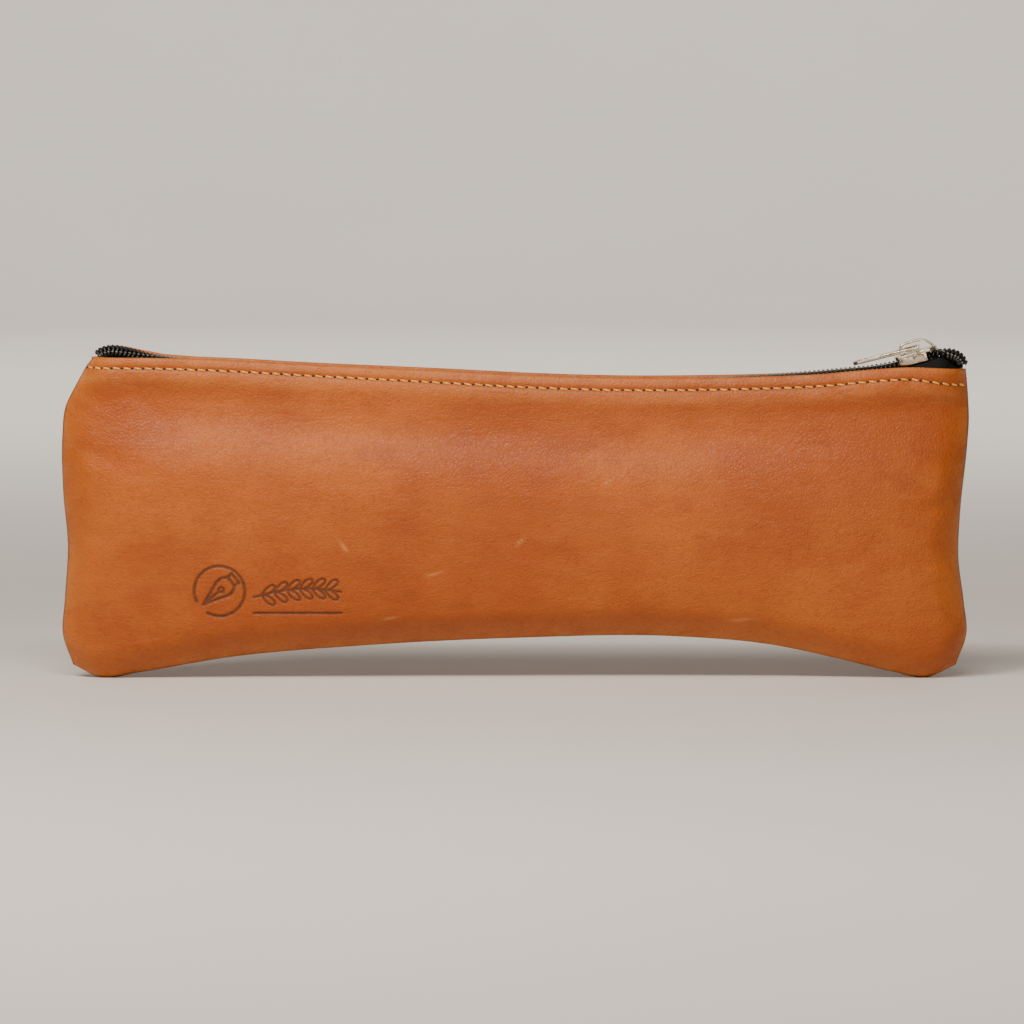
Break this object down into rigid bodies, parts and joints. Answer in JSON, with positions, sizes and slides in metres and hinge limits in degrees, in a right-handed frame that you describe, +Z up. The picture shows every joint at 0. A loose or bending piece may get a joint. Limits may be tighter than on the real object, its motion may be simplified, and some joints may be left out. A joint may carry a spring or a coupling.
{
  "type": "fountain pen case",
  "caption": "Slim tan leather zip pouch for fountain pens, with yellow topstitching, a black coil zip along the mouth and a nickel slider and puller.",
  "frame": {"origin": "on the ground under the centre of the bounding box", "axes": "+X along the pouch towards the end where the closed zip's slider is parked, -Y out of the front face, +Z up from the bottom seam to the zip"},
  "size_m": [0.2266, 0.0256, 0.0849],
  "materials": {
    "tan_leather": "waxed pull-up leather with a soft sheen",
    "lining_cloth": "plain woven cotton",
    "zip_tape": "black woven polyester",
    "zip_coil": "black nylon with a soft sheen",
    "zip_stitching": "dark thread",
    "yellow_thread": "waxed golden yellow thread",
    "nickel": "bright nickel plate"
  },
  "bodies": {
    "back_half": {"back_panel": "tan_leather", "back_lining": "lining_cloth", "back_zip_tape": "zip_tape", "back_zip_coil": "zip_coil", "back_coil_cord": "zip_tape", "back_coil_stitching": "zip_stitching", "back_topstitch": "yellow_thread", "back_seam_stitching": "yellow_thread"},
    "front_half": {"front_panel": "tan_leather", "front_lining": "lining_cloth", "front_zip_tape": "zip_tape", "front_zip_coil": "zip_coil", "front_coil_cord": "zip_tape", "front_coil_stitching": "zip_stitching", "front_topstitch": "yellow_thread", "front_seam_stitching": "yellow_thread"},
    "slider": {"slider_body": "nickel", "slider_crown": "nickel"},
    "lock_spring": {"slider_lock_spring": "nickel"},
    "puller": {"puller": "nickel"}
  },
  "joints": [
    {"name": "zip_travel", "type": "hinge", "parent": "back_half", "child": "slider", "pos_m": [0.00465, 0, 0.7199], "axis": [0, 1, 0], "range_deg": [0, 16.25], "deforming": ["front_zip_tape", "front_zip_coil", "front_coil_cord", "front_coil_stitching", "back_zip_tape", "back_zip_coil", "back_coil_cord", "back_coil_stitching"]},
    {"name": "mouth_opening", "type": "hinge", "parent": "back_half", "child": "front_half", "pos_m": [0, 0, 0], "axis": [1, 0, 0], "range_deg": [0, 14]},
    {"name": "puller_swing", "type": "hinge", "parent": "slider", "child": "puller", "pos_m": [0.10053, 0, 0.08274], "axis": [0, 1, 0], "range_deg": [0, 150]},
    {"name": "spring_lift", "type": "slide", "parent": "slider", "child": "lock_spring", "axis": [-0.2924, 0, 0.9563], "range_m": [0, 0.0006]}
  ],
  "couplings": [
    {"joint": "mouth_opening", "follows": "zip_travel", "ratio": 0.85},
    {"joint": "spring_lift", "follows": "puller_swing", "m_per_rad": 0.0002}
  ]
}
